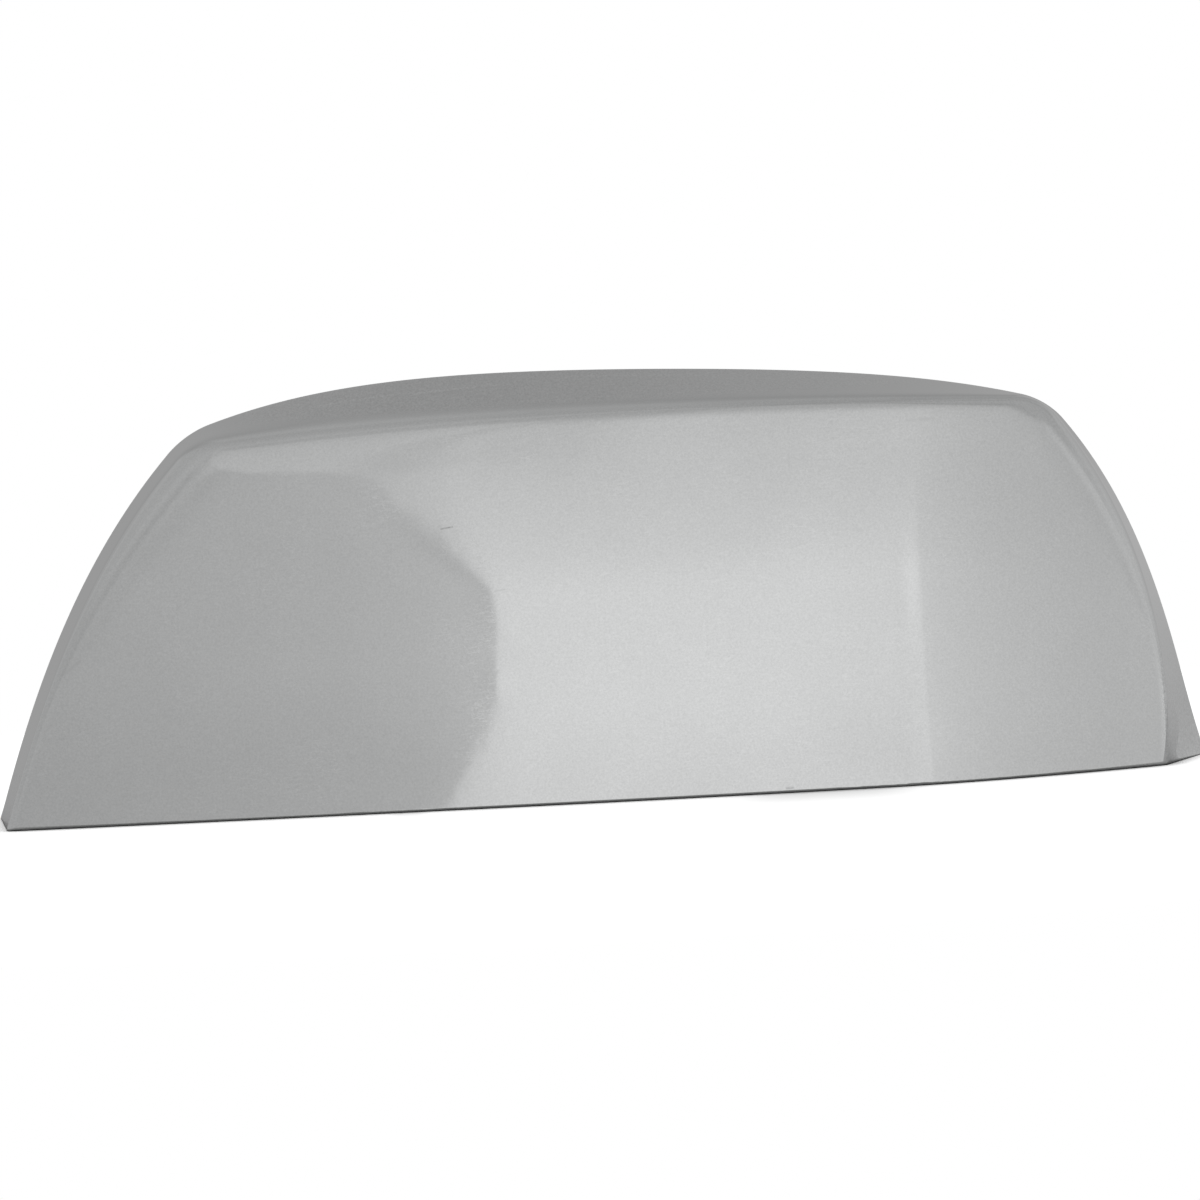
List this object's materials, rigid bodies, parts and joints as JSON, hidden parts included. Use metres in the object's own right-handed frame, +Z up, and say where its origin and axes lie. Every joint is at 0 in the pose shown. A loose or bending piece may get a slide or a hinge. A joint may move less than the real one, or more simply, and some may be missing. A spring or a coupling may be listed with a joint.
{
  "type": "wing mirror cover",
  "caption": "Chrome-plated moulded cover that snaps over the upper half of a large wing mirror head, with locating pins, snap hooks and ribs inside.",
  "frame": {"origin": "under the middle of the cover, on the plane of its bottom edge", "axes": "+X along the cover, to the right as seen from the front; the front faces -Y and the open back +Y; +Z up, as fitted"},
  "size_m": [0.25, 0.052, 0.0867],
  "materials": {
    "chrome_plate": "bright chrome plating over moulded plastic, with a faint orange peel and fine hairlines"
  },
  "bodies": {
    "root": {"mirror_cover": "chrome_plate"}
  },
  "joints": []
}
